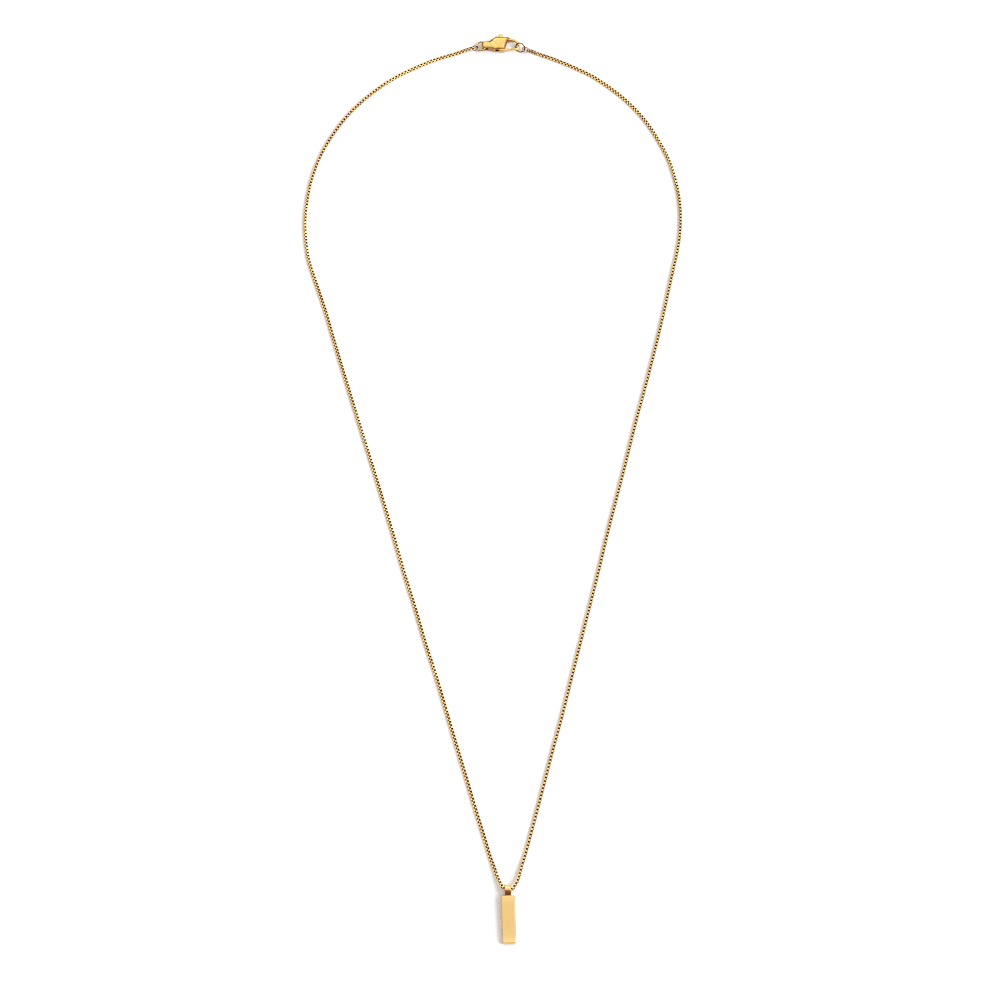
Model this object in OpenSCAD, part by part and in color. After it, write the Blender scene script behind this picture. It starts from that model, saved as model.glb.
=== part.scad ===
// Bar pendant on a fine box chain, lying flat in a drop shape and fastened.
// All sizes in millimetres. The origin is under the middle of the whole
// outline, on the surface that it lies on. +Y runs from the pendant to the
// clasp, +Z is up.

/* [Chain] */
// Side of the square chain section
chain_w = 0.9; // [0.75:0.05:0.95]
// Number of flat sides of the plain tube that stands for the chain
chain_sides = 8; // [8:1:12]

/* [Bar] */
// Width of the bar
bar_w = 3.7; // [3:0.1:5]
// Length of the bar
bar_l = 13.4; // [10:0.1:16]
// Thickness of the bar
bar_t = 2.0; // [1.2:0.1:2.4]
// Bevel along every edge of the bar
bar_bevel = 0.12; // [0.05:0.01:0.3]
// Turn of the lying pendant about the vertical, degrees
bar_turn = 1.6; // [-1:0.1:3]

/* [Bail ring] */
// Outer diameter of the ring that is soldered to the bar
bail_d = 3.4; // [3.2:0.1:4]
// Inner diameter of the bail ring
bail_hole_d = 2.4; // [2.2:0.1:2.6]
// Length of the bail ring along the chain
bail_w = 1.7; // [1:0.1:1.8]
// Depth of the solder joint between ring and bar
bail_joint = 0.15; // [0.1:0.05:0.3]

/* [Clasp] */
// Thickness of the clasp's body
body_t = 2.6; // [2.4:0.1:3]
// Thickness of the tail that the jump ring passes through
tail_t = 1.7; // [1.6:0.1:2.2]
// Height of the oblong eye across the tail
eye_t = 1.05; // [0.9:0.05:1.1]
// Width of the slot that holds the lever
slot_t = 1.2; // [1.1:0.05:1.3]
// Thickness of the lever between the cheeks
lever_t = 1.1; // [0.8:0.05:1.1]
// Thickness of the lever's arm where it closes the hook
arm_t = 0.62; // [0.5:0.02:0.8]
// Thickness of the hook where it leaves the body
hook_t = 1.3; // [1:0.1:1.4]
// Thickness of the hook at its nose
nose_t = 0.62; // [0.5:0.02:0.8]
// Diameter of the pivot pin
pin_d = 0.7; // [0.6:0.02:0.8]
// Radial clearance of the pin in the body
pin_gap = 0.015; // [0.01:0.005:0.03]
// Radial clearance of the pin in the lever
bore_gap = 0.03; // [0.02:0.01:0.08]
// Gap between the tip of the lever's arm and the tip of the hook
tip_gap = 0.07; // [0.05:0.01:0.12]

/* [Rings] */
// Wire diameter of the jump rings
ring_wire = 0.44; // [0.36:0.02:0.46]
// Middle diameter of the jump ring in the hook
hook_ring_d = 2.82; // [2.8:0.02:2.86]
// Middle diameter of the jump ring in the tail
tail_ring_d = 3.05; // [3:0.05:3.1]
// Wire diameter of the small loops on the chain's ends
loop_wire = 0.36; // [0.3:0.02:0.36]
// Middle diameter of the small loop on the chain's left end
left_loop_d = 1.44; // [1.4:0.02:1.48]
// Middle diameter of the small loop on the chain's right end
right_loop_d = 1.8; // [1.76:0.02:1.84]

/* [Hidden] */

$fn = 48;
gold = [0.92, 0.70, 0.32];
pale_gold = [0.96, 0.80, 0.50];
deep_gold = [0.80, 0.56, 0.22];
e = 0.01;

// Middle of the bail ring, seen from above
bail_at = [4.3, -128];
// Pivot of the clasp's lever, seen from above
clasp_at = [2.2, 139.4];

// The lying bar leans on its far edge and on the bail ring
bail_r = bail_d / 2;
bar_far = bail_r - bail_joint + bar_l;
bar_tilt = asin(bail_r / sqrt(bar_far * bar_far + bar_t * bar_t / 4))
         - atan(bar_t / 2 / bar_far);

// ---------------------------------------------------------------- chain
// Route of the chain's middle line: from the loop beside the clasp's tail,
// down the left, through the bail ring, and up the right to the clasp's hook.
// columns: x, y, z
route = [
    [-6.5, 138.4, 0.8], [-8, 138, 0.6], [-10.5, 137, 0.45], [-16.5, 135, 0.45],
    [-23.4, 131.9, 0.45], [-30.4, 127.9, 0.45], [-36.9, 122.7, 0.45], [-42.5, 117, 0.45],
    [-48.4, 108.4, 0.45], [-52, 100.9, 0.45], [-54.4, 93, 0.45], [-55.4, 86.5, 0.45],
    [-55.9, 80, 0.45], [-55.5, 73, 0.45], [-54.6, 67, 0.45], [-52.5, 60, 0.45],
    [-49.9, 52, 0.45], [-46.5, 40, 0.45], [-42, 24.5, 0.45], [-38, 11, 0.45],
    [-34.1, -2, 0.45], [-28.9, -20, 0.45], [-25, -34, 0.45], [-22, -44, 0.45],
    [-18.9, -55, 0.45], [-16.4, -63, 0.45], [-11, -82, 0.45], [-8.4, -91, 0.45],
    [-4.1, -106, 0.45], [-2, -113, 0.45], [-0.5, -118.2, 0.5], [0.7, -121.6, 0.8],
    [1.7, -124.6, 1.2], [2.5, -126.3, 1.55], [3.1, -127.3, 1.75],
    [3.85, -127.7, 1.8],
    [4.6, -127.75, 1.8],
    [5.35, -127.7, 1.8],
    [5.95, -127, 1.75], [6.5, -126.1, 1.55], [7.2, -124.4, 1.2],
    [8, -121.2, 0.8], [9, -117.8, 0.5], [11, -110.2, 0.45], [13, -102.5, 0.45],
    [15, -94.5, 0.45], [17.5, -84.6, 0.45], [19.5, -77, 0.45], [23, -62.6, 0.45],
    [25.1, -54, 0.45], [28.5, -40.2, 0.45], [30, -34, 0.45], [33.9, -17.4, 0.45],
    [36, -9, 0.45], [38, -1, 0.45], [42, 15.5, 0.45], [45, 27, 0.45],
    [47, 35, 0.45], [50.5, 50, 0.45], [52, 57, 0.45], [53.5, 64, 0.45],
    [54.6, 69, 0.45], [55.6, 75.5, 0.45], [55.9, 80.5, 0.45], [55.6, 87.5, 0.45],
    [54.5, 94, 0.45], [52.5, 101, 0.45], [50, 106.5, 0.45], [46, 113.5, 0.45],
    [40, 120.8, 0.45], [35.5, 124.9, 0.45], [30, 129, 0.45], [24.5, 132, 0.45],
    [18, 135, 0.45], [13, 137, 0.5], [11.1, 137.9, 0.65]
];

function unit(v) = v / norm(v);
// Direction of the route at point i
function along(i) = unit(route[min(i + 1, len(route) - 1)] - route[max(i - 1, 0)]);
// Half the diagonal of the tube's section, so that its flats are chain_w apart
tube_r = chain_w / 2 / cos(180 / chain_sides);
function ring_points(i) =
    let (t = along(i), s = unit(cross(t, [0, 0, 1])), u = cross(s, t))
    [for (k = [0 : chain_sides - 1])
        let (a = (k + 0.5) * 360 / chain_sides)
        route[i] + tube_r * (cos(a) * s + sin(a) * u)];

module chain() {
    n = chain_sides;
    m = len(route);
    points = [for (i = [0 : m - 1]) each ring_points(i)];
    walls = [for (i = [0 : m - 2], k = [0 : n - 1])
        let (a = i * n + k, b = i * n + (k + 1) % n)
        each [[a, b, b + n], [a, b + n, a + n]]];
    first = [[for (k = [n - 1 : -1 : 0]) k]];
    last = [[for (k = [0 : n - 1]) (m - 1) * n + k]];
    color(gold) polyhedron(points = points, faces = concat(walls, first, last), convexity = 10);
}

// ---------------------------------------------------------------- pendant
module beveled_rect(a, b, c) {
    polygon([[-a / 2 + c, -b / 2], [a / 2 - c, -b / 2], [a / 2, -b / 2 + c], [a / 2, b / 2 - c],
             [a / 2 - c, b / 2], [-a / 2 + c, b / 2], [-a / 2, b / 2 - c], [-a / 2, -b / 2 + c]]);
}

// A plain bar with every edge bevelled, its middle at the origin
module beveled_bar(w, l, t, c) {
    intersection() {
        translate([0, 0, -t / 2]) linear_extrude(t) beveled_rect(w, l, c);
        rotate([90, 0, 0]) translate([0, 0, -l / 2]) linear_extrude(l) beveled_rect(w, t, c);
        rotate([0, 90, 0]) translate([0, 0, -w / 2]) linear_extrude(w) beveled_rect(t, l, c);
    }
}

module bar_pendant() {
    color(pale_gold)
    translate([bail_at.x, bail_at.y, bail_r]) rotate([0, 0, bar_turn]) rotate([bar_tilt, 0, 0])
    difference() {
        union() {
            translate([0, -(bar_far - bar_l / 2), 0]) beveled_bar(bar_w, bar_l, bar_t, bar_bevel);
            rotate([0, 90, 0]) cylinder(h = bail_w, r = bail_r, center = true, $fn = 64);
        }
        rotate([0, 90, 0]) cylinder(h = bail_w + 1, r = bail_hole_d / 2, center = true, $fn = 64);
    }
}

// ---------------------------------------------------------------- clasp
// The clasp is drawn about its pivot, lying on its broad side. The tail is
// towards -X, the hook towards +X and the thumb knob towards +Y.

// Outline of the body seen from above; columns: x, y
body_outline = [
    [-5.05, -1.4], [-5.5, -1], [-5.65, -0.35], [-5.5, 0.3], [-5.1, 0.7], [-4.6, 0.8],
    [-3.3, 0.87], [-2.8, 1.15], [-2.2, 1.65], [-1.6, 1.98], [-1, 2.1], [0.5, 2.15], [2, 2.12],
    [2.75, 2.05], [2.3, 1.35], [1.9, 0.45], [1.65, -0.55], [1.5, -1.35], [1.42, -1.98],
    [-1.1, -1.98], [-2, -1.8], [-2.8, -1.52], [-4.6, -1.5]
];
// Thickness of the body along a diagonal line, as its shoulder slopes down to
// the tail; columns: place on the diagonal, share of the way from the tail's
// thickness to the body's
body_side = [[-8, 0], [-2.35, 0], [-0.95, 1], [6, 1]];
// Middle line of the hook and its width; columns: x, y, width
hook_line = [
    [1.9, 1.6, 0.98], [2.6, 1.67, 0.92], [3.3, 1.66, 0.87], [4, 1.53, 0.82], [4.6, 1.26, 0.76],
    [5.1, 0.82, 0.7], [5.42, 0.3, 0.64], [5.56, -0.25, 0.6], [5.53, -0.75, 0.6],
    [5.32, -1.15, 0.58], [4.97, -1.43, 0.54], [4.5, -1.58, 0.5], [4, -1.63, 0.48], [3.4, -1.63, 0.48]
];
// Radius of the arc that the tip of the lever's arm moves along
tip_r = 3.8;
// Outline of the lever without its hub; columns: x, y
lever_outline = [
    [-0.95, -0.5], [-0.6, -1.45], [0.2, -1.8], [3.9, -1.87], [3.9, -1.39], [1.8, -1.36], [0.95, -0.5],
    [0.62, 0.7], [0.5, 1.2], [0.5, 2.3], [0.8, 2.42], [0.88, 2.85], [0.72, 3.35], [0.4, 3.62],
    [-0.1, 3.66], [-0.42, 3.45], [-0.58, 3], [-0.55, 2.45], [-0.45, 2.3], [-0.45, 1.2], [-0.7, 0.7]
];

function hook_dir(i) = let (n = len(hook_line) - 1, a = hook_line[max(i - 1, 0)], b = hook_line[min(i + 1, n)])
    unit([b.x - a.x, b.y - a.y]);
function hook_edge(i, side) = let (d = hook_dir(i), p = hook_line[i])
    [p.x - side * d.y * p.z / 2, p.y + side * d.x * p.z / 2];
function hook_outline() = concat(
    [for (i = [0 : len(hook_line) - 1]) hook_edge(i, 1)],
    [for (i = [len(hook_line) - 1 : -1 : 0]) hook_edge(i, -1)]);

// A prism along Y whose half height follows a table of x and half height
module side_prism(table) {
    rotate([90, 0, 0]) translate([0, 0, -8]) linear_extrude(16)
        polygon(concat(table, [for (i = [len(table) - 1 : -1 : 0]) [table[i].x, -table[i].y]]));
}

module body_form() {
    intersection() {
        translate([0, 0, -2]) linear_extrude(4) polygon(body_outline);
        rotate([0, 0, 45]) side_prism([for (p = body_side) [p.x, tail_t / 2 + p.y * (body_t - tail_t) / 2]]);
    }
}

module hook_form() {
    difference() {
        intersection() {
            translate([0, 0, -2]) linear_extrude(4) polygon(hook_outline());
            side_prism([[1, hook_t / 2], [2.4, hook_t / 2], [4.9, nose_t / 2], [7, nose_t / 2]]);
        }
        // clears the arc of the lever's tip
        translate([0, -1.6, 0]) intersection() {
            translate([0, 1.6, 0]) cylinder(h = 5, r = tip_r + tip_gap, center = true, $fn = 96);
            cube([9, 1.2, 6], center = true);
        }
    }
}

module clasp_body() {
    color(gold) translate([clasp_at.x, clasp_at.y, body_t / 2])
    difference() {
        union() { body_form(); hook_form(); }
        // slot for the lever, open at the front and towards the hook
        translate([-1.5, -3, -slot_t / 2]) cube([5, 4.15, slot_t]);
        // channel that the thumb knob moves along
        translate([-1.9, 1, -slot_t / 2]) cube([2.5, 2, slot_t]);
        // seat of the pivot pin
        cylinder(h = 6, r = pin_d / 2 + pin_gap, center = true);
        // eye of the tail, an oblong hole across it
        translate([-4.62, 0, 0]) rotate([90, 0, 0]) cylinder(h = 6, r = eye_t / 2, center = true);
        translate([-4.12, 0, 0]) rotate([90, 0, 0]) cylinder(h = 6, r = eye_t / 2, center = true);
        translate([-4.37, 0, 0]) cube([0.5, 6, eye_t], center = true);
    }
}

module clasp_lever() {
    color(deep_gold) translate([clasp_at.x, clasp_at.y, body_t / 2])
    difference() {
        intersection() {
            translate([0, 0, -lever_t / 2]) linear_extrude(lever_t) union() {
                polygon(lever_outline);
                circle(r = 1.05);
            }
            // the tip of the arm is an arc about the pivot
            cylinder(h = 4, r = tip_r, center = true, $fn = 96);
            side_prism([[-6, lever_t / 2], [1.2, lever_t / 2], [1.9, arm_t / 2], [6, arm_t / 2]]);
        }
        cylinder(h = 4, r = pin_d / 2 + bore_gap, center = true);
    }
}

module clasp_pin() {
    color(deep_gold) translate([clasp_at.x, clasp_at.y, body_t / 2])
        cylinder(h = body_t - 0.1, r = pin_d / 2, center = true);
}

// ---------------------------------------------------------------- rings
// A wire ring about its own axis, then turned and moved into place
module wire_ring(at, turn, middle_d, wire) {
    translate(at) rotate(turn) rotate_extrude($fn = 64) translate([middle_d / 2, 0]) circle(d = wire, $fn = 24);
}

module jump_ring_hook() color(gold) wire_ring([8.28, 138.46, 1.4], [56, 0, -24], hook_ring_d, ring_wire);
module jump_ring_tail() color(gold) wire_ring([-3.63, 139.05, 1.1], [-2, -11, -5], tail_ring_d, ring_wire);
module end_loop_left() color(gold) wire_ring([-5.36, 138.65, 0.78], [55, -1, 7], left_loop_d, loop_wire);
module end_loop_right() color(gold) wire_ring([9.86, 137.98, 1.04], [-3, 24, 4], right_loop_d, loop_wire);

chain();
bar_pendant();
clasp_body();
clasp_lever();
clasp_pin();
jump_ring_hook();
jump_ring_tail();
end_loop_left();
end_loop_right();
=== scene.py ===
import math

import bpy
import numpy as np
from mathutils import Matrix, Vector


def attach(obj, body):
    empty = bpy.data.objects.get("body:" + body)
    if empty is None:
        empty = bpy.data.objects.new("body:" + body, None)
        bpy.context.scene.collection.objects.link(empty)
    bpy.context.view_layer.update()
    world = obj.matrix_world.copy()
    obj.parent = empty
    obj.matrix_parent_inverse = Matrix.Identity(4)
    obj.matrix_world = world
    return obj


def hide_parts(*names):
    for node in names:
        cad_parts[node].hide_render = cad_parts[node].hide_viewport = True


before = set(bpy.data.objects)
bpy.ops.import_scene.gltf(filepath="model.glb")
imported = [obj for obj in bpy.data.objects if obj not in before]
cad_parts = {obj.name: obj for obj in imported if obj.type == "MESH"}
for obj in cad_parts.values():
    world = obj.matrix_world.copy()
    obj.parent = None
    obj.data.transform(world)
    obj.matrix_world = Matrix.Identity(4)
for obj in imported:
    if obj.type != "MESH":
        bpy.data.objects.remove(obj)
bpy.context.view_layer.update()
MM = 0.001
rng = np.random.RandomState(11)

# ------------------------------------------------------------------ camera
# The view of the photograph: 67 degrees above the surface, 1.075 m away
cam_data = bpy.data.cameras.new("camera")
cam_data.sensor_width = 36.0
cam_data.lens = 134.17
cam_data.clip_start = 0.01
cam_data.clip_end = 20.0
cam = bpy.data.objects.new("camera", cam_data)
cam.location = (2.12 * MM, -430.32 * MM, 989.54 * MM)
cam.rotation_euler = (math.radians(23.0), 0.0, 0.0)
bpy.context.scene.collection.objects.link(cam)
bpy.context.scene.camera = cam


# ------------------------------------------------------------------ helpers
def add_mesh(name, verts_mm, faces, sharp=None):
    """A mesh object from points in millimetres, smooth shaded."""
    me = bpy.data.meshes.new(name)
    me.from_pydata((np.asarray(verts_mm, float) * MM).tolist(), [], [tuple(int(i) for i in f) for f in faces])
    me.update()
    me.polygons.foreach_set("use_smooth", [True] * len(me.polygons))
    if sharp is not None:
        me.set_sharp_from_angle(angle=math.radians(sharp))
    ob = bpy.data.objects.new(name, me)
    bpy.context.scene.collection.objects.link(ob)
    return ob


def unit(v):
    return v / np.linalg.norm(v)


def turn(a, b, c):
    """Rotation matrix for turns about X, then Y, then Z, in degrees."""
    a, b, c = np.radians([a, b, c])
    rx = np.array([[1, 0, 0], [0, np.cos(a), -np.sin(a)], [0, np.sin(a), np.cos(a)]])
    ry = np.array([[np.cos(b), 0, np.sin(b)], [0, 1, 0], [-np.sin(b), 0, np.cos(b)]])
    rz = np.array([[np.cos(c), -np.sin(c), 0], [np.sin(c), np.cos(c), 0], [0, 0, 1]])
    return rz @ ry @ rx


def smooth_loop(points, steps=6):
    """A closed smooth curve through the given points."""
    p = np.array(points, float)
    n = len(p)
    out = []
    for i in range(n):
        a, b, c, d = p[i - 1], p[i], p[(i + 1) % n], p[(i + 2) % n]
        for k in range(steps):
            t = k / steps
            out.append(0.5 * (2 * b + (c - a) * t + (2 * a - 5 * b + 4 * c - d) * t * t + (3 * b - a - 3 * c + d) * t ** 3))
    return np.array(out)


def smooth_line(points, steps=5):
    """An open smooth curve through the given rows, every column alike."""
    p = np.array(points, float)
    n = len(p)
    out = []
    for i in range(n - 1):
        a, b, c, d = p[max(i - 1, 0)], p[i], p[i + 1], p[min(i + 2, n - 1)]
        for k in range(steps):
            t = k / steps
            out.append(0.5 * (2 * b + (c - a) * t + (2 * a - 5 * b + 4 * c - d) * t * t + (3 * b - a - 3 * c + d) * t ** 3))
    out.append(p[-1])
    return np.array(out)


# distance fields, in millimetres: negative inside
def in_outline(poly, x, y):
    """Signed distance to a closed outline in the plane."""
    best = np.full(np.shape(x), 1e9)
    inside = np.zeros(np.shape(x), bool)
    n = len(poly)
    for i in range(n):
        ax, ay = poly[i]
        bx, by = poly[(i + 1) % n]
        ex, ey = bx - ax, by - ay
        t = np.clip(((x - ax) * ex + (y - ay) * ey) / (ex * ex + ey * ey + 1e-12), 0, 1)
        best = np.minimum(best, (x - ax - t * ex) ** 2 + (y - ay - t * ey) ** 2)
        if ay != by:
            hit = ((ay > y) != (by > y)) & (x < ax + (y - ay) * ex / ey)
            inside ^= hit
    return np.where(inside, -1.0, 1.0) * np.sqrt(best)


def slab(d2, z, half, r):
    """An outline given thickness, its rims rounded with radius r."""
    a = d2 + r
    b = np.abs(z) - half + r
    return np.minimum(np.maximum(a, b), 0) + np.hypot(np.maximum(a, 0), np.maximum(b, 0)) - r


def block(x, y, z, lo, hi, r=0.0):
    c = [(lo[i] + hi[i]) / 2 for i in range(3)]
    h = [(hi[i] - lo[i]) / 2 - r for i in range(3)]
    q = [np.abs(v - c[i]) - h[i] for i, v in enumerate((x, y, z))]
    out = np.sqrt(sum(np.maximum(v, 0) ** 2 for v in q))
    return out + np.minimum(np.maximum(np.maximum(q[0], q[1]), q[2]), 0) - r


def join(a, b, k):
    """Union with a fillet of about k."""
    h = np.clip(0.5 + 0.5 * (b - a) / k, 0, 1)
    return b + (a - b) * h - k * h * (1 - h)


def cut(a, b, k=0.04):
    """a without b, the new rim eased by about k."""
    h = np.clip(0.5 - 0.5 * (-b - a) / k, 0, 1)
    return -b + (a + b) * h + k * h * (1 - h)


def surface(field, lo, hi, step):
    """The zero level of a distance field as a quad mesh, each point then moved onto the level."""
    lo = np.array(lo, float)
    n = [int(math.ceil((hi[i] - lo[i]) / step)) + 1 for i in range(3)]
    axes = [lo[i] + step * np.arange(n[i]) for i in range(3)]
    gx, gy, gz = np.meshgrid(*axes, indexing="ij")
    f = field(gx, gy, gz)
    cells = [m - 1 for m in n]

    def corner(o):
        return f[o[0]:o[0] + cells[0], o[1]:o[1] + cells[1], o[2]:o[2] + cells[2]]

    corners = [(i, j, k) for i in (0, 1) for j in (0, 1) for k in (0, 1)]
    count = sum((corner(o) < 0).astype(int) for o in corners)
    active = (count > 0) & (count < 8)
    index = np.full(cells, -1)
    index[active] = np.arange(active.sum())
    where = np.argwhere(active)
    total = np.zeros((len(where), 3))
    number = np.zeros(len(where))
    for a in corners:
        for axis in range(3):
            if a[axis]:
                continue
            b = list(a)
            b[axis] = 1
            fa = corner(a)[active]
            fb = corner(b)[active]
            hit = (fa < 0) != (fb < 0)
            t = np.where(hit, fa / np.where(hit, fa - fb, 1), 0)
            p = np.tile(np.array(a, float), (len(where), 1))
            p[:, axis] = t
            total += p * hit[:, None]
            number += hit
    verts = lo + step * (where + total / number[:, None])
    faces = []
    for axis in range(3):
        u, v = (axis + 1) % 3, (axis + 2) % 3
        sl_a = [slice(None)] * 3
        sl_b = [slice(None)] * 3
        sl_a[axis] = slice(0, n[axis] - 1)
        sl_b[axis] = slice(1, n[axis])
        for other in (u, v):
            sl_a[other] = slice(1, n[other] - 1)
            sl_b[other] = slice(1, n[other] - 1)
        fa, fb = f[tuple(sl_a)], f[tuple(sl_b)]
        hit = np.argwhere((fa < 0) != (fb < 0))
        out_up = fa[tuple(hit.T)] < 0
        base = hit.copy()
        ring = []
        for du, dv in ((0, 0), (1, 0), (1, 1), (0, 1)):
            c = base.copy()
            c[:, u] += du
            c[:, v] += dv
            ring.append(index[tuple(c.T)])
        ring = np.array(ring).T
        ring[~out_up] = ring[~out_up][:, ::-1]
        faces.append(ring)
    faces = np.vstack(faces)
    eps = step * 0.05
    for _ in range(3):
        value = field(*verts.T)
        g = np.array([(field(*(verts + eps * np.eye(3)[i]).T) - field(*(verts - eps * np.eye(3)[i]).T)) / (2 * eps) for i in range(3)]).T
        size = np.maximum((g ** 2).sum(1), 0.25)
        move = value[:, None] * g / size[:, None]
        reach = np.linalg.norm(move, axis=1)
        move *= np.minimum(1, 0.5 * step / np.maximum(reach, 1e-9))[:, None]
        verts = verts - move
    return verts, faces


def mark_painted_shade(ob, field, verts, extra=None):
    """Stores painted shade for each point of a casting: how shut in it is, 0 in the open to 1 in a narrow place."""
    eps = 0.01
    g = np.array([(field(*(verts + eps * np.eye(3)[i]).T) - field(*(verts - eps * np.eye(3)[i]).T)) for i in range(3)]).T
    n = g / np.maximum(np.linalg.norm(g, axis=1), 1e-9)[:, None]
    shade_share = np.zeros(len(verts))
    for reach, share in ((0.12, 0.5), (0.25, 0.5), (0.5, 0.4)):
        shade_share += share * np.clip(1 - field(*(verts + n * reach).T) / reach, 0, 1)
    if extra is not None:
        shade_share += extra(verts, n)
    # the gold material darkens the colour by this share: painted shade
    layer = ob.data.attributes.new("painted_shade", "FLOAT", "POINT")
    layer.data.foreach_set("value", np.clip(shade_share, 0, 1).astype(float).tolist())


# ------------------------------------------------------------------ materials
def gold(name, color, rough, vary, scratch, patch=0.02, bump=0.12, grain=9.0, wall_shade=0.0, shade_color=(0.30, 0.12, 0.03)):
    """Polished gold plate: a slow drift of colour and polish, fine rub marks and a faint skin of dents.

    The base colour is darkened toward a brown as painted shade: in recesses, by the stored shade share, and on
    upright sides by the given share.
    """
    m = bpy.data.materials.new(name)
    m.use_nodes = True
    nt = m.node_tree
    nodes, links = nt.nodes, nt.links
    nodes.clear()
    out = nodes.new("ShaderNodeOutputMaterial")
    bsdf = nodes.new("ShaderNodeBsdfPrincipled")
    bsdf.inputs["Metallic"].default_value = 1.0
    links.new(bsdf.outputs["BSDF"], out.inputs["Surface"])
    coord = nodes.new("ShaderNodeTexCoord")
    scale = nodes.new("ShaderNodeMapping")
    scale.inputs["Scale"].default_value = (1000.0, 1000.0, 1000.0)
    links.new(coord.outputs["Object"], scale.inputs["Vector"])
    # slow drift of the plating's colour
    drift = nodes.new("ShaderNodeTexNoise")
    drift.inputs["Scale"].default_value = 0.55
    drift.inputs["Detail"].default_value = 3.0
    links.new(scale.outputs["Vector"], drift.inputs["Vector"])
    ramp = nodes.new("ShaderNodeValToRGB")
    dark = [c * (1 - patch * w) for c, w in zip(color, (1.0, 2.2, 4.0))]
    light = [min(1.0, c * (1 + patch * w)) for c, w in zip(color, (0.6, 1.2, 2.0))]
    ramp.color_ramp.elements[0].position = 0.3
    ramp.color_ramp.elements[0].color = (*dark, 1)
    ramp.color_ramp.elements[1].position = 0.7
    ramp.color_ramp.elements[1].color = (*light, 1)
    links.new(drift.outputs["Fac"], ramp.inputs["Fac"])
    # painted shade: the base colour goes toward the dark brown in recesses and on upright walls
    shade_share = nodes.new("ShaderNodeAttribute")
    shade_share.attribute_name = "painted_shade"
    face = nodes.new("ShaderNodeNewGeometry")
    split = nodes.new("ShaderNodeSeparateXYZ")
    links.new(face.outputs["Normal"], split.inputs["Vector"])
    upright = nodes.new("ShaderNodeMath")
    upright.operation = "ABSOLUTE"
    links.new(split.outputs["Z"], upright.inputs[0])
    wall_shade_range = nodes.new("ShaderNodeMapRange")
    wall_shade_range.inputs["From Min"].default_value = 0.93
    wall_shade_range.inputs["From Max"].default_value = 0.78
    wall_shade_range.inputs["To Min"].default_value = 0.0
    wall_shade_range.inputs["To Max"].default_value = wall_shade
    links.new(upright.outputs["Value"], wall_shade_range.inputs["Value"])
    shade_fac = nodes.new("ShaderNodeMath")
    shade_fac.operation = "MAXIMUM"
    links.new(wall_shade_range.outputs["Result"], shade_fac.inputs[0])
    links.new(shade_share.outputs["Fac"], shade_fac.inputs[1])
    shaded_base = nodes.new("ShaderNodeMix")
    shaded_base.data_type = "RGBA"
    links.new(shade_fac.outputs["Value"], shaded_base.inputs["Factor"])
    links.new(ramp.outputs["Color"], shaded_base.inputs["A"])
    shaded_base.inputs["B"].default_value = (*shade_color, 1)
    links.new(shaded_base.outputs["Result"], bsdf.inputs["Base Color"])
    # polish: cloudy, with fine rub marks
    cloud = nodes.new("ShaderNodeTexNoise")
    cloud.inputs["Scale"].default_value = 2.4
    cloud.inputs["Detail"].default_value = 4.0
    links.new(scale.outputs["Vector"], cloud.inputs["Vector"])
    stretch = nodes.new("ShaderNodeMapping")
    stretch.inputs["Rotation"].default_value = (0.0, 0.0, 0.5)
    stretch.inputs["Scale"].default_value = (14.0, 1.3, 14.0)
    links.new(scale.outputs["Vector"], stretch.inputs["Vector"])
    rub = nodes.new("ShaderNodeTexNoise")
    rub.inputs["Scale"].default_value = 1.0
    rub.inputs["Detail"].default_value = 2.0
    links.new(stretch.outputs["Vector"], rub.inputs["Vector"])
    line = nodes.new("ShaderNodeMapRange")
    line.inputs["From Min"].default_value = 0.62
    line.inputs["From Max"].default_value = 0.72
    line.inputs["To Min"].default_value = 0.0
    line.inputs["To Max"].default_value = scratch
    links.new(rub.outputs["Fac"], line.inputs["Value"])
    level = nodes.new("ShaderNodeMapRange")
    level.inputs["From Min"].default_value = 0.3
    level.inputs["From Max"].default_value = 0.7
    level.inputs["To Min"].default_value = rough - vary
    level.inputs["To Max"].default_value = rough + vary
    links.new(cloud.outputs["Fac"], level.inputs["Value"])
    add = nodes.new("ShaderNodeMath")
    add.operation = "ADD"
    links.new(level.outputs["Result"], add.inputs[0])
    links.new(line.outputs["Result"], add.inputs[1])
    links.new(add.outputs["Value"], bsdf.inputs["Roughness"])
    # the skin: shallow tumbling dents
    dents = nodes.new("ShaderNodeTexNoise")
    dents.inputs["Scale"].default_value = grain
    dents.inputs["Detail"].default_value = 2.0
    links.new(scale.outputs["Vector"], dents.inputs["Vector"])
    skin = nodes.new("ShaderNodeBump")
    skin.inputs["Strength"].default_value = bump
    skin.inputs["Distance"].default_value = 0.00001
    links.new(dents.outputs["Fac"], skin.inputs["Height"])
    links.new(skin.outputs["Normal"], bsdf.inputs["Normal"])
    return m


chain_mat = gold("chain_gold", (0.97, 0.745, 0.315), 0.13, 0.04, 0.06, patch=0.03, bump=0.08, grain=6.0)
# painted shade: a rough dark red-brown for the hidden faces inside the links
chain_shade_mat = gold("chain_gold_painted_shade", (0.30, 0.062, 0.012), 0.5, 0.08, 0.06, patch=0.05, bump=0.10, grain=6.0)
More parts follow.
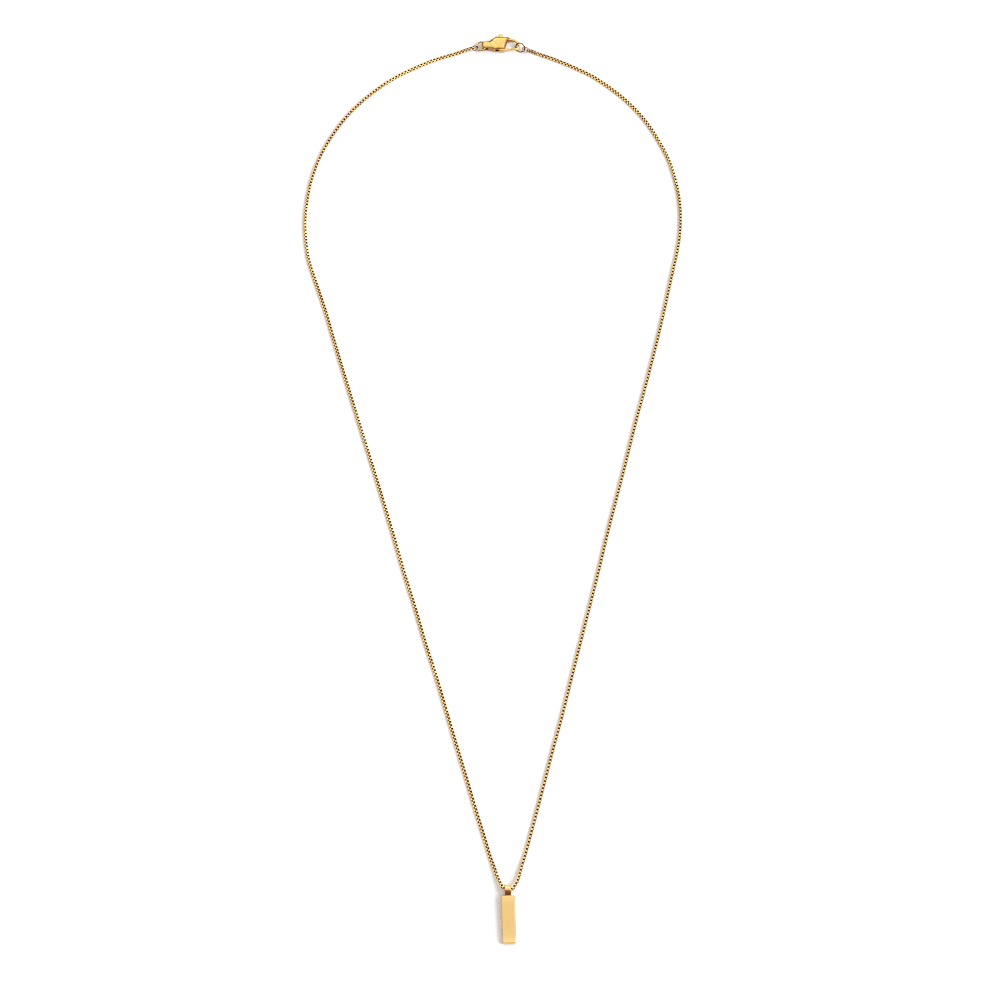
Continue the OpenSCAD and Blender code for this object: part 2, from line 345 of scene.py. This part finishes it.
# painted shade: the share for upright sides browns them toward the given dark colour; the bail's and castings'
# hollows darken by their stored shade
bar_mat = gold("bar_gold", (0.93, 0.665, 0.275), 0.17, 0.03, 0.08, patch=0.012, bump=0.05, grain=5.0, wall_shade=0.42, shade_color=(0.5, 0.28, 0.08))
bail_mat = gold("bail_gold", (0.94, 0.70, 0.31), 0.14, 0.03, 0.08, patch=0.012, bump=0.05, grain=5.0, shade_color=(0.24, 0.08, 0.02))
clasp_mat = gold("clasp_gold", (0.93, 0.665, 0.225), 0.15, 0.04, 0.07, patch=0.02, bump=0.14, grain=4.0, wall_shade=0.2, shade_color=(0.32, 0.13, 0.03))
ring_mat = gold("ring_gold", (0.90, 0.60, 0.22), 0.13, 0.04, 0.05, patch=0.02, bump=0.08, grain=5.0, wall_shade=0.95, shade_color=(0.22, 0.09, 0.02))


def finish_piece(ob, mat, slot, body, *nodes):
    ob.data.materials.clear()
    ob.data.materials.append(mat)
    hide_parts(*nodes)
    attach(ob, body)


# ------------------------------------------------------------------ chain
# The route of the chain's middle line; columns: x, y, z
ROUTE = [
    (-6.5, 138.4, 0.8), (-8, 138, 0.6), (-10.5, 137, 0.45), (-16.5, 135, 0.45),
    (-23.4, 131.9, 0.45), (-30.4, 127.9, 0.45), (-36.9, 122.7, 0.45), (-42.5, 117, 0.45),
    (-48.4, 108.4, 0.45), (-52, 100.9, 0.45), (-54.4, 93, 0.45), (-55.4, 86.5, 0.45),
    (-55.9, 80, 0.45), (-55.5, 73, 0.45), (-54.6, 67, 0.45), (-52.5, 60, 0.45),
    (-49.9, 52, 0.45), (-46.5, 40, 0.45), (-42, 24.5, 0.45), (-38, 11, 0.45),
    (-34.1, -2, 0.45), (-28.9, -20, 0.45), (-25, -34, 0.45), (-22, -44, 0.45),
    (-18.9, -55, 0.45), (-16.4, -63, 0.45), (-11, -82, 0.45), (-8.4, -91, 0.45),
    (-4.1, -106, 0.45), (-2, -113, 0.45), (-0.5, -118.2, 0.5), (0.7, -121.6, 0.8),
    (1.7, -124.6, 1.2), (2.5, -126.3, 1.55), (3.1, -127.3, 1.75),
    (3.85, -127.7, 1.8),
    (4.6, -127.75, 1.8),
    (5.35, -127.7, 1.8),
    (5.95, -127, 1.75), (6.5, -126.1, 1.55), (7.2, -124.4, 1.2),
    (8, -121.2, 0.8), (9, -117.8, 0.5), (11, -110.2, 0.45), (13, -102.5, 0.45),
    (15, -94.5, 0.45), (17.5, -84.6, 0.45), (19.5, -77, 0.45), (23, -62.6, 0.45),
    (25.1, -54, 0.45), (28.5, -40.2, 0.45), (30, -34, 0.45), (33.9, -17.4, 0.45),
    (36, -9, 0.45), (38, -1, 0.45), (42, 15.5, 0.45), (45, 27, 0.45),
    (47, 35, 0.45), (50.5, 50, 0.45), (52, 57, 0.45), (53.5, 64, 0.45),
    (54.6, 69, 0.45), (55.6, 75.5, 0.45), (55.9, 80.5, 0.45), (55.6, 87.5, 0.45),
    (54.5, 94, 0.45), (52.5, 101, 0.45), (50, 106.5, 0.45), (46, 113.5, 0.45),
    (40, 120.8, 0.45), (35.5, 124.9, 0.45), (30, 129, 0.45), (24.5, 132, 0.45),
    (18, 135, 0.45), (13, 137, 0.5), (11.1, 137.9, 0.65),
]
# Roll of the links about the chain's line; columns: share of the way, degrees
ROLL = [(0.0, -30), (0.018, -18), (0.031, -8), (0.045, 0), (0.06, 5), (0.09, 9), (0.12, 12), (0.15, 16), (0.18, 24),
        (0.49, 26), (0.505, 0), (0.52, 0), (0.55, 2), (0.85, 1), (0.88, -7), (0.9, -11), (0.93, -14), (0.955, -13),
        (0.965, -14), (0.975, -18), (0.985, -24), (1.0, -32)]
PITCH = 0.537
LINK_W = 0.93     # outer width of a link, across the chain
STRIP_T = 0.165   # thickness of its strip
LINK_L = 0.867    # outer length of a link, along the chain
STRIP_W = 0.58    # width of its strip
LINK_R = 0.32     # outer radius of its corners


def through(points, per=24):
    """Smooth curve through the route's points, finely stepped."""
    p = np.array(points, float)
    d = np.linalg.norm(np.diff(p, axis=0), axis=1)
    s = np.zeros_like(p)
    s[0] = (p[1] - p[0]) / d[0]
    s[-1] = (p[-1] - p[-2]) / d[-1]
    for i in range(1, len(p) - 1):
        s[i] = ((p[i] - p[i - 1]) / d[i - 1] * d[i] + (p[i + 1] - p[i]) / d[i] * d[i - 1]) / (d[i - 1] + d[i])
    out = []
    for i in range(len(p) - 1):
        for k in range(per):
            u = k / per
            out.append((2 * u ** 3 - 3 * u ** 2 + 1) * p[i] + (u ** 3 - 2 * u ** 2 + u) * d[i] * s[i]
                       + (-2 * u ** 3 + 3 * u ** 2) * p[i + 1] + (u ** 3 - u ** 2) * d[i] * s[i + 1])
    out.append(p[-1])
    return np.array(out)


def link_template():
    """One link about the origin: its loop lies in the XZ plane with X along the chain, its strip's width along Y."""
    a = LINK_W / 2 - STRIP_T / 2
    c = LINK_L / 2 - STRIP_T / 2
    r = LINK_R - STRIP_T / 2
    mid, outward = [], []
    for q in range(4):
        cx, cz = [(c - r, a - r), (-c + r, a - r), (-c + r, -a + r), (c - r, -a + r)][q]
        for k in range(5):
            t = math.radians(90 * q + 22.5 * k)
            mid.append((cx + r * math.cos(t), 0, cz + r * math.sin(t)))
            outward.append((math.cos(t), 0, math.sin(t)))
    b = 0.028
    t, w = STRIP_T / 2, STRIP_W / 2
    section = [(-t, -w + b), (-t + b, -w), (t - b, -w), (t, -w + b), (t, w - b), (t - b, w), (-t + b, w), (-t, w - b)]
    verts = []
    for m, o in zip(mid, outward):
        for h, v in section:
            verts.append((m[0] + o[0] * h, v, m[2] + o[2] * h))
    n, k = len(mid), len(section)
    faces, dull_shaded = [], []
    for i in range(n):
        for j in range(k):
            faces.append((i * k + j, i * k + (j + 1) % k, ((i + 1) % n) * k + (j + 1) % k, ((i + 1) % n) * k + j))
            # the strip's inner face, the end bars and their bends get the rough dark red-brown material: painted
            # shade for the links' hollows
            dull_shaded.append(j in (0, 6, 7) or (j in (2, 3, 4) and i not in (3, 4, 5, 13, 14, 15)))
    return np.array(verts), np.array(faces), np.array(dull_shaded)


def build_chain():
    line = through(ROUTE)
    # the links at both ends go on to the small loops
    line = np.vstack([[-6.17, 138.5, 0.8], line, [10.78, 137.95, 0.68]])
    seg = np.linalg.norm(np.diff(line, axis=0), axis=1)
    s = np.concatenate([[0], np.cumsum(seg)])
    total = s[-1]
    count = int(round(total / PITCH)) + 1
    at = np.linspace(0, total, count)
    where = np.array([np.interp(at, s, line[:, i]) for i in range(3)]).T
    ahead = np.array([np.interp(np.clip(at + 0.3, 0, total), s, line[:, i]) for i in range(3)]).T
    behind = np.array([np.interp(np.clip(at - 0.3, 0, total), s, line[:, i]) for i in range(3)]).T
    roll_s, roll_d = zip(*ROLL)
    verts0, faces0, dull_shaded0 = link_template()
    blocks, start = [], 0
    groups = 5
    jitter = rng.normal(0, 1.6, count)
    wander = np.interp(np.arange(count), np.arange(0, count + 40, 40), rng.normal(0, 2.0, len(np.arange(0, count + 40, 40))))
    for g in range(groups):
        lo, hi = g * count // groups, (g + 1) * count // groups
        vv, ff = [], []
        for i in range(lo, hi):
            t = unit(ahead[i] - behind[i])
            side = unit(np.cross(t, [0, 0, 1]))
            up = np.cross(side, t)
            roll = np.interp(at[i] / total, roll_s, roll_d) + jitter[i] + wander[i] + 90 * (i % 2)
            c, d = math.cos(math.radians(roll)), math.sin(math.radians(roll))
            axis = c * side + d * up
            third = np.cross(t, axis)
            m = np.array([t, axis, third])
            ff.append(faces0 + len(vv) * len(verts0))
            # a rolled link stands on the edge of its strip
            lean = math.radians(min(abs(roll - 90 * (i % 2)), 45))
            spot = where[i].copy()
            spot[2] = max(spot[2], LINK_W / 2 * math.cos(lean) + STRIP_W / 2 * math.sin(lean))
            vv.append(verts0 @ m + spot)
        ob = add_mesh("chain_links_%d" % (g + 1), np.vstack(vv), np.vstack(ff), sharp=38)
        finish_piece(ob, chain_mat, "chain_gold", "necklace", "chain")
        ob.data.materials.append(chain_shade_mat)
        ob.data.polygons.foreach_set("material_index", np.tile(dull_shaded0, len(vv)).astype(int).tolist())
    return count


links = build_chain()


# ------------------------------------------------------------------ pendant
BAR_W, BAR_L, BAR_T = 3.7, 13.4, 2.0
BAIL_R, BAIL_IN, BAIL_W, JOINT = 1.7, 1.2, 1.7, 0.15
BAIL_AT = np.array([4.3, -128.0, BAIL_R])
far = BAIL_R - JOINT + BAR_L
tilt = math.degrees(math.asin(BAIL_R / math.hypot(far, BAR_T / 2)) - math.atan2(BAR_T / 2, far))
bar_turn = turn(0, 0, 1.6) @ turn(tilt, 0, 0)


def pendant(x, y, z):
    # the polishing has drawn both broad faces down a little towards the ends
    end = np.clip((np.abs(y + far - BAR_L / 2) - BAR_L / 2 + 3.0) / 3.0, 0, 1)
    side = np.clip((np.abs(x) - BAR_W / 2 + 0.7) / 0.7, 0, 1)
    flat = z + np.sign(z) * (0.22 * end ** 2 + 0.02 * side ** 2)
    bar = block(x, y, flat, (-BAR_W / 2, -far, -BAR_T / 2), (BAR_W / 2, -far + BAR_L, BAR_T / 2), 0.25)
    rho = np.hypot(y, z)
    ring = slab(rho - BAIL_R, x, BAIL_W / 2, 0.13)
    whole = join(bar, ring, 0.22)
    hole = BAIL_IN - rho
    # ease the bore's rims
    return cut(whole, -hole, 0.10)


v, f = surface(pendant, (-2.0, -15.2, -1.85), (2.0, 1.85, 1.85), 0.085)
pendant_ob = add_mesh("pendant", v @ bar_turn.T + BAIL_AT, f)
finish_piece(pendant_ob, bar_mat, "bar_gold", "necklace", "bar_pendant")
pendant_ob.data.materials.append(bail_mat)
on_bail = v[f].mean(axis=1)[:, 1] > -BAIL_R + JOINT + 0.12
pendant_ob.data.polygons.foreach_set("material_index", on_bail.astype(int).tolist())


def bail_shade(p, n):
    """Painted shade on the side of the bail ring towards the bar."""
    return np.clip((-n[:, 1] - 0.02) / 0.22, 0, 1) * (p[:, 1] > -BAIL_R + JOINT) * (np.abs(n[:, 0]) < 0.7)


mark_painted_shade(pendant_ob, pendant, v, bail_shade)

# ------------------------------------------------------------------ clasp
PIVOT = np.array([2.2, 139.4, 1.3])
BODY = smooth_loop([
    (-5.05, -1.4), (-5.5, -1), (-5.65, -0.35), (-5.5, 0.3), (-5.1, 0.7), (-4.6, 0.8),
    (-3.3, 0.87), (-2.8, 1.15), (-2.2, 1.65), (-1.6, 1.98), (-1, 2.1), (0.5, 2.15), (2, 2.12),
    (2.75, 2.05), (2.3, 1.35), (1.9, 0.45), (1.65, -0.55), (1.5, -1.35), (1.42, -1.98),
    (-1.1, -1.98), (-2, -1.8), (-2.8, -1.52), (-4.6, -1.5)])
HOOK = smooth_line([
    (1.9, 1.6, 0.98), (2.6, 1.67, 0.92), (3.3, 1.66, 0.87), (4, 1.53, 0.82), (4.6, 1.26, 0.76),
    (5.1, 0.82, 0.7), (5.42, 0.3, 0.64), (5.56, -0.25, 0.6), (5.53, -0.75, 0.6),
    (5.32, -1.15, 0.58), (4.97, -1.43, 0.54), (4.5, -1.58, 0.5), (4, -1.63, 0.48), (3.4, -1.63, 0.48)])
TIP_R, TIP_GAP = 3.8, 0.07


def hook_field(x, y, z):
    best = np.full(np.shape(x), 1e9)
    width = np.zeros(np.shape(x))
    for (ax, ay, aw), (bx, by, bw) in zip(HOOK[:-1], HOOK[1:]):
        ex, ey = bx - ax, by - ay
        t = np.clip(((x - ax) * ex + (y - ay) * ey) / (ex * ex + ey * ey), 0, 1)
        d = np.hypot(x - ax - t * ex, y - ay - t * ey)
        near = d < best
        best = np.where(near, d, best)
        width = np.where(near, aw + t * (bw - aw), width)
    half = np.interp(x, [2.4, 4.9], [0.65, 0.31])
    d = slab(best - width / 2, z, half, 0.22)
    # room for the tip of the lever's arm
    tip = np.maximum(np.hypot(x, y) - TIP_R - TIP_GAP, np.abs(y + 1.6) - 0.6)
    return cut(d, tip, 0.05)


def body_field(x, y, z):
    climb = np.clip((x + y + 3.4) / 2.2, 0, 1)
    climb = climb * climb * (3 - 2 * climb)
    half = 0.85 + 0.45 * climb
    flat = in_outline(BODY, x, y)
    d = slab(flat, z, half, 0.16)
    # the broad faces fall away to a sloped rim
    rim = (flat + 0.55 + 0.2 * climb) * math.sin(math.radians(20)) + (np.abs(z) - half) * math.cos(math.radians(20))
    d = -join(-d, -rim, 0.10)
    d = join(d, hook_field(x, y, z), 0.18)
    rho = np.hypot(x, y)
    # the lever's slot, and the channel of its knob
    d = cut(d, block(x, y, z, (-1.5, -4, -0.6), (3.5, 1.15, 0.6), 0.02), 0.08)
    d = cut(d, block(x, y, z, (-1.9, 1, -0.6), (0.6, 4, 0.6), 0.02), 0.08)
    # the pin's seat
    d = cut(d, rho - 0.362, 0.015)
    # the tail's eye
    ex = np.abs(x + 4.37) - 0.25
    eye = np.where(ex > 0, np.hypot(ex, z), np.abs(z)) - 0.525
    return cut(d, eye, 0.10)


v, f = surface(body_field, (-5.8, -2.15, -1.45), (6.05, 2.4, 1.45), 0.065)
body_ob = add_mesh("clasp_body_cast", v + PIVOT, f)
finish_piece(body_ob, clasp_mat, "clasp_gold", "necklace", "clasp_body")


def body_shade(p, n):
    """Painted shade on the rim of the broad faces, the hook's inner wall and the tail's front wall."""
    rim = np.clip((in_outline(BODY, p[:, 0], p[:, 1]) + 0.52) / 0.2, 0, 1) * (p[:, 0] < 2.9)
    rim *= 0.9 * np.clip((np.abs(n[:, 2]) - 0.5) / 0.3, 0, 1) * (np.abs(p[:, 2]) > 0.65)
    to = np.array([3.6, 0.1]) - p[:, :2]
    far_off = np.maximum(np.linalg.norm(to, axis=1), 1e-9)
    facing = (to * n[:, :2]).sum(1) / far_off
    inside = 0.85 * np.clip((facing - 0.15) / 0.35, 0, 1) * (p[:, 0] > 1.2) * (far_off < 3.2)
    tail = 0.8 * np.clip((-n[:, 1] - 0.4) / 0.3, 0, 1) * np.clip((-1.4 - p[:, 0]) / 0.6, 0, 1)
    return np.maximum(np.maximum(rim, inside), tail)


mark_painted_shade(body_ob, body_field, v, body_shade)

LEVER = smooth_loop([
    (-0.95, -0.5), (-0.6, -1.45), (0.2, -1.8), (2.2, -1.84), (3.9, -1.87), (3.9, -1.39), (1.8, -1.36), (0.95, -0.5),
    (0.62, 0.7), (0.5, 1.2), (0.5, 2.3), (0.8, 2.42), (0.88, 2.85), (0.72, 3.35), (0.4, 3.62),
    (-0.1, 3.66), (-0.42, 3.45), (-0.58, 3), (-0.55, 2.45), (-0.45, 2.3), (-0.45, 1.2), (-0.7, 0.7)], 4)


def lever_field(x, y, z):
    rho = np.hypot(x, y)
    d2 = join(in_outline(LEVER, x, y), rho - 1.05, 0.15)
    d2 = np.maximum(d2, rho - TIP_R)
    r = np.interp(y, [-1.0, 2.2, 2.6], [0.16, 0.16, 0.34])
    half = np.interp(x, [1.2, 1.9], [0.55, 0.31])
    d = slab(d2, z, half, r)
    return cut(d, rho - 0.38, 0.03)


v, f = surface(lever_field, (-1.3, -2.1, -0.7), (4.0, 3.8, 0.7), 0.055)
lever_ob = add_mesh("clasp_lever_cast", v + PIVOT, f)
finish_piece(lever_ob, clasp_mat, "clasp_gold", "lever", "clasp_lever")
# painted shade in the lever's narrow places
mark_painted_shade(lever_ob, lever_field, v)


def lathe(name, profile, at, steps=40):
    """A turned piece about Z from (radius, height) pairs, closed on the axis."""
    verts = [(0, 0, profile[0][1])]
    for r, z in profile:
        for k in range(steps):
            t = 2 * math.pi * k / steps
            verts.append((r * math.cos(t), r * math.sin(t), z))
    verts.append((0, 0, profile[-1][1]))
    faces = []
    for k in range(steps):
        faces.append((0, 1 + (k + 1) % steps, 1 + k))
    for i in range(len(profile) - 1):
        for k in range(steps):
            a, b = 1 + i * steps + k, 1 + i * steps + (k + 1) % steps
            faces.append((a, b, b + steps, a + steps))
    last = 1 + (len(profile) - 1) * steps
    for k in range(steps):
        faces.append((last + k, last + (k + 1) % steps, len(verts) - 1))
    return add_mesh(name, np.array(verts) + at, faces, sharp=60)


pin_ob = lathe("clasp_rivet", [(0.2, -1.29), (0.34, -1.288), (0.35, -1.275), (0.35, -0.4), (0.35, 0.4), (0.35, 1.275), (0.34, 1.288), (0.2, 1.29)], PIVOT)
finish_piece(pin_ob, clasp_mat, "clasp_gold", "necklace", "clasp_pin")


# ------------------------------------------------------------------ rings
def wire_ring(name, at, angles, middle_d, wire, split=None, steps=96, around=20):
    """A ring of round wire; split is the angle where its ends meet, in degrees."""
    r, w = middle_d / 2, wire / 2
    gap = 0.0 if split is None else 0.018 / r
    start = 0.0 if split is None else math.radians(split)
    angles_around = [2 * math.pi * j / around for j in range(around)]
    verts, faces = [], []
    if split is None:
        stations = [(2 * math.pi * i / steps, w) for i in range(steps)]
    else:
        t0, t1 = start + gap, start + 2 * math.pi - gap
        soft = 0.03 / r
        inner = [t0 + soft + (t1 - t0 - 2 * soft) * i / steps for i in range(steps + 1)]
        stations = [(t0, w - 0.03)] + [(t, w) for t in inner] + [(t1, w - 0.03)]
    for t, rad in stations:
        for a in angles_around:
            q = r + rad * math.cos(a)
            verts.append((q * math.cos(t), q * math.sin(t), rad * math.sin(a)))
    n = len(stations)
    for i in range(n if split is None else n - 1):
        for j in range(around):
            a, b = i * around + j, i * around + (j + 1) % around
            c, d = ((i + 1) % n) * around + j, ((i + 1) % n) * around + (j + 1) % around
            faces.append((a, c, d, b))
    if split is not None:
        faces.append(tuple(range(around)))
        faces.append(tuple(range((n - 1) * around, n * around))[::-1])
    v = np.array(verts) @ turn(*angles).T + np.array(at)
    return add_mesh(name, v, faces, sharp=60 if split is not None else None)


for name, node, at, angles, dia, wire, split in (
        ("hook_jump_ring", "jump_ring_hook", (8.28, 138.46, 1.4), (56, 0, -24), 2.82, 0.44, 60),
        ("tail_jump_ring", "jump_ring_tail", (-3.63, 139.05, 1.1), (-2, -11, -5), 3.05, 0.44, 100),
        ("left_end_loop", "end_loop_left", (-5.36, 138.65, 0.78), (55, -1, 7), 1.44, 0.36, None),
        ("right_end_loop", "end_loop_right", (9.86, 137.98, 1.04), (-3, 24, 4), 1.8, 0.36, None)):
    ob = wire_ring(name, at, angles, dia, wire, split)
    finish_piece(ob, ring_mat, "ring_gold", "necklace", node)

# ------------------------------------------------------------------ floor
S = 1.6
floor = add_mesh("floor", np.array([(-S, -S, -0.00003), (S, -S, -0.00003), (S, S, -0.00003), (-S, S, -0.00003)]) / MM, [(0, 1, 2, 3)])
fm = bpy.data.materials.new("floor_paper")
fm.use_nodes = True
fb = fm.node_tree.nodes["Principled BSDF"]
fb.inputs["Base Color"].default_value = (0.9, 0.9, 0.9, 1)
fb.inputs["Roughness"].default_value = 0.9
fb.inputs["Specular IOR Level"].default_value = 0.1
floor.data.materials.append(fm)

# ------------------------------------------------------------------ light
sun_data = bpy.data.lights.new("key", "SUN")
sun_data.energy = 2.1
sun_data.color = (0.94, 1.0, 1.06)
sun_data.angle = math.radians(30.0)
sun = bpy.data.objects.new("key", sun_data)
sun.rotation_euler = Vector((0.88, -0.33, 1.0)).to_track_quat("Z", "Y").to_euler()
sun.location = (0.88, -0.33, 1.0)
bpy.context.scene.collection.objects.link(sun)

# The studio: a dim room with a broad overhead panel and a lower one behind the piece
world = bpy.data.worlds.new("studio")
world.use_nodes = True
wn, wl = world.node_tree.nodes, world.node_tree.links
back = wn["Background"]
coord = wn.new("ShaderNodeTexCoord")


def panel(toward, inner, outer, level):
    """A soft round panel of light round one direction; inner and outer are its radii in degrees."""
    v = Vector(toward).normalized()
    dot = wn.new("ShaderNodeVectorMath")
    dot.operation = "DOT_PRODUCT"
    dot.inputs[1].default_value = v
    wl.new(coord.outputs["Generated"], dot.inputs[0])
    m = wn.new("ShaderNodeMapRange")
    m.interpolation_type = "SMOOTHSTEP"
    m.inputs["From Min"].default_value = math.cos(math.radians(outer))
    m.inputs["From Max"].default_value = math.cos(math.radians(inner))
    m.inputs["To Min"].default_value = 0.0
    m.inputs["To Max"].default_value = level
    wl.new(dot.outputs["Value"], m.inputs["Value"])
    return m.outputs["Result"]


def plus(a, b):
    n = wn.new("ShaderNodeMath")
    n.operation = "ADD"
    wl.new(a, n.inputs[0])
    if isinstance(b, float):
        n.inputs[1].default_value = b
    else:
        wl.new(b, n.inputs[1])
    return n.outputs["Value"]


level = plus(panel((0, 0.12, 1), 30, 58, 0.67), panel((0, 0.82, 0.5), 8, 31, 0.92))
level = plus(level, panel((1, 0.5, 0.8), 14, 36, 0.76))
level = plus(level, panel((-1, 0.05, 0.8), 12, 38, 0.35))
level = plus(level, panel((0, -0.3, 1), 2, 25, 0.26))
level = plus(level, panel((0, 0.44, 0.9), 2, 10, 0.13))
level = plus(level, panel((0, -0.88, 0.47), 8, 32, 0.55))
level = plus(level, 0.24)
# the room darkens towards the horizon
apart = wn.new("ShaderNodeSeparateXYZ")
wl.new(coord.outputs["Generated"], apart.inputs["Vector"])
rise = wn.new("ShaderNodeMapRange")
rise.interpolation_type = "SMOOTHSTEP"
rise.inputs["From Min"].default_value = 0.02
rise.inputs["From Max"].default_value = 0.30
rise.inputs["To Min"].default_value = 0.4
rise.inputs["To Max"].default_value = 1.0
wl.new(apart.outputs["Z"], rise.inputs["Value"])
dim = wn.new("ShaderNodeMath")
dim.operation = "MULTIPLY"
wl.new(level, dim.inputs[0])
wl.new(rise.outputs["Result"], dim.inputs[1])
wl.new(dim.outputs["Value"], back.inputs["Strength"])
back.inputs["Color"].default_value = (1.03, 0.99, 0.96, 1)
bpy.context.scene.world = world
bpy.context.scene.view_settings.view_transform = "Standard"
bpy.context.scene.view_settings.look = "None"
bpy.context.scene.cycles.filter_width = 1.0
bpy.context.scene.cycles.use_denoising = False
